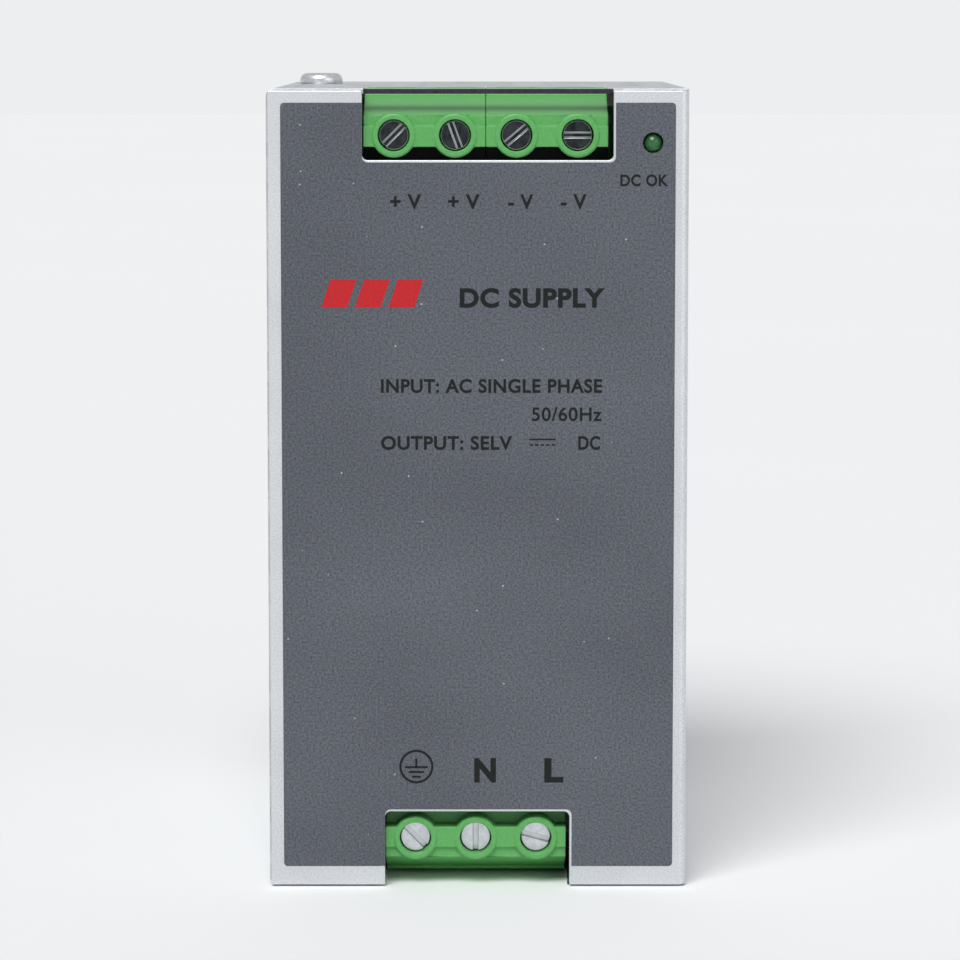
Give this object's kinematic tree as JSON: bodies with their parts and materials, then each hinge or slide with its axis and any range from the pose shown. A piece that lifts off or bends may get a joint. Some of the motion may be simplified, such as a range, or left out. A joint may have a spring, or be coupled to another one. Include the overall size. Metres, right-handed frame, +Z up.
{
  "type": "din rail power supply",
  "caption": "Narrow metal-cased power supply for a 35 mm mounting rail, with screw terminals at top and bottom, a status lamp and a sprung rail clip.",
  "frame": {"origin": "middle of the box under the case, on the plane that the bottom plate rests on", "axes": "+Z up, the front face with the screws looks towards -Y, the rail clip is on the +Y side, +X to the right seen from the front"},
  "size_m": [0.0654, 0.1, 0.127],
  "materials": {
    "bare_aluminium": "satin, fine rolled grain",
    "galvanised_steel": "galvanised, faint spangle",
    "printed_film": "matt printed film",
    "zinc_plated_steel": "bright zinc plate",
    "dull_zinc_steel": "dull zinc plate",
    "green_nylon": "moulded, semi-matt",
    "brass": "turned and plated",
    "tinned_copper": "tinned",
    "circuit_board": "solder mask over glass laminate",
    "insulation_card": "smooth card",
    "green_lens": "clear tinted epoxy",
    "blue_plastic": "moulded",
    "white_plastic": "moulded",
    "ferrite": "ground ferrite",
    "black_plastic": "moulded",
    "yellow_tape": "polyester tape and coating",
    "capacitor_sleeve": "shrink sleeve",
    "enamelled_copper": "enamelled wire",
    "fuse_glass": "glass tube with caps",
    "silicone_pad": "soft pad",
    "spring_steel": "drawn wire"
  },
  "bodies": {
    "case": {"chassis": "bare_aluminium", "vent_cover": "galvanised_steel", "front_film": "printed_film", "cover_top_screw": "zinc_plated_steel", "cover_side_screws": "zinc_plated_steel", "press_nuts": "zinc_plated_steel", "output_block_left": "green_nylon", "output_block_right": "green_nylon", "input_block": "green_nylon", "output_contacts": "tinned_copper", "input_contacts": "tinned_copper", "output_board": "circuit_board", "input_board": "circuit_board", "main_board": "circuit_board", "board_standoffs": "brass", "board_screws": "zinc_plated_steel", "insulation_sheet": "insulation_card", "status_led": "green_lens", "trimmer_body": "blue_plastic", "transformer_core": "ferrite", "transformer_bobbin": "black_plastic", "transformer_winding": "yellow_tape", "bulk_capacitors": "capacitor_sleeve", "output_capacitors": "capacitor_sleeve", "bridge_rectifier": "black_plastic", "line_choke_core": "ferrite", "line_choke_windings": "enamelled_copper", "filter_capacitor": "yellow_tape", "input_fuse": "fuse_glass", "surge_varistor": "blue_plastic", "switch_transistors": "black_plastic", "output_diodes": "black_plastic", "thermal_pads": "silicone_pad", "clamp_bars": "galvanised_steel", "clamp_screws": "zinc_plated_steel", "output_inductor_core": "yellow_tape", "output_inductor_winding": "enamelled_copper", "control_chips": "black_plastic", "rail_bracket": "galvanised_steel", "latch_spring": "spring_steel", "bracket_rivets": "zinc_plated_steel"},
    "output_screw_1": {"output_screw_1": "dull_zinc_steel"},
    "output_screw_2": {"output_screw_2": "dull_zinc_steel"},
    "output_screw_3": {"output_screw_3": "dull_zinc_steel"},
    "output_screw_4": {"output_screw_4": "dull_zinc_steel"},
    "input_screw_1": {"input_screw_1": "zinc_plated_steel"},
    "input_screw_2": {"input_screw_2": "zinc_plated_steel"},
    "input_screw_3": {"input_screw_3": "zinc_plated_steel"},
    "output_cage_1": {"output_cage_1": "brass"},
    "output_cage_2": {"output_cage_2": "brass"},
    "output_cage_3": {"output_cage_3": "brass"},
    "output_cage_4": {"output_cage_4": "brass"},
    "input_cage_1": {"input_cage_1": "brass"},
    "input_cage_2": {"input_cage_2": "brass"},
    "input_cage_3": {"input_cage_3": "brass"},
    "rail_latch": {"rail_latch": "zinc_plated_steel"},
    "trimmer_rotor": {"trimmer_rotor": "white_plastic"}
  },
  "joints": [
    {"name": "output_screw_1_turn", "type": "hinge", "parent": "case", "child": "output_screw_1", "pos_m": [-0.01296, -0.0425, 0.118], "axis": [0, 1, 0], "range_deg": [0, 3096]},
    {"name": "output_cage_1_travel", "type": "slide", "parent": "case", "child": "output_cage_1", "axis": [0, -1, 0], "range_m": [0, 0.00429]},
    {"name": "output_screw_2_turn", "type": "hinge", "parent": "case", "child": "output_screw_2", "pos_m": [-0.00346, -0.0425, 0.118], "axis": [0, 1, 0], "range_deg": [0, 3096]},
    {"name": "output_cage_2_travel", "type": "slide", "parent": "case", "child": "output_cage_2", "axis": [0, -1, 0], "range_m": [0, 0.00429]},
    {"name": "output_screw_3_turn", "type": "hinge", "parent": "case", "child": "output_screw_3", "pos_m": [0.00604, -0.0425, 0.118], "axis": [0, 1, 0], "range_deg": [0, 3096]},
    {"name": "output_cage_3_travel", "type": "slide", "parent": "case", "child": "output_cage_3", "axis": [0, -1, 0], "range_m": [0, 0.00429]},
    {"name": "output_screw_4_turn", "type": "hinge", "parent": "case", "child": "output_screw_4", "pos_m": [0.01554, -0.0425, 0.118], "axis": [0, 1, 0], "range_deg": [0, 3096]},
    {"name": "output_cage_4_travel", "type": "slide", "parent": "case", "child": "output_cage_4", "axis": [0, -1, 0], "range_m": [0, 0.00429]},
    {"name": "input_screw_1_turn", "type": "hinge", "parent": "case", "child": "input_screw_1", "pos_m": [0.00921, -0.0425, 0.0075], "axis": [0, 1, 0], "range_deg": [0, 3096]},
    {"name": "input_cage_1_travel", "type": "slide", "parent": "case", "child": "input_cage_1", "axis": [0, -1, 0], "range_m": [0, 0.00429]},
    {"name": "input_screw_2_turn", "type": "hinge", "parent": "case", "child": "input_screw_2", "pos_m": [-0.00029, -0.0425, 0.0075], "axis": [0, 1, 0], "range_deg": [0, 3096]},
    {"name": "input_cage_2_travel", "type": "slide", "parent": "case", "child": "input_cage_2", "axis": [0, -1, 0], "range_m": [0, 0.00429]},
    {"name": "input_screw_3_turn", "type": "hinge", "parent": "case", "child": "input_screw_3", "pos_m": [-0.00979, -0.0425, 0.0075], "axis": [0, 1, 0], "range_deg": [0, 3096]},
    {"name": "input_cage_3_travel", "type": "slide", "parent": "case", "child": "input_cage_3", "axis": [0, -1, 0], "range_m": [0, 0.00429]},
    {"name": "rail_latch_slide", "type": "slide", "parent": "case", "child": "rail_latch", "axis": [0, 0, -1], "range_m": [0, 0.0045], "stiffness_N_per_m": 1200, "springref_m": -0.004, "deforming": ["latch_spring"]},
    {"name": "trimmer_turn", "type": "hinge", "parent": "case", "child": "trimmer_rotor", "pos_m": [-0.0223, -0.031, 0.112], "axis": [0, 1, 0], "range_deg": [-130, 130]}
  ],
  "couplings": [
    {"joint": "output_screw_1_turn", "follows": "output_cage_1_travel", "rad_per_m": 12566},
    {"joint": "output_screw_2_turn", "follows": "output_cage_2_travel", "rad_per_m": 12566},
    {"joint": "output_screw_3_turn", "follows": "output_cage_3_travel", "rad_per_m": 12566},
    {"joint": "output_screw_4_turn", "follows": "output_cage_4_travel", "rad_per_m": 12566},
    {"joint": "input_screw_1_turn", "follows": "input_cage_1_travel", "rad_per_m": 12566},
    {"joint": "input_screw_2_turn", "follows": "input_cage_2_travel", "rad_per_m": 12566},
    {"joint": "input_screw_3_turn", "follows": "input_cage_3_travel", "rad_per_m": 12566}
  ]
}
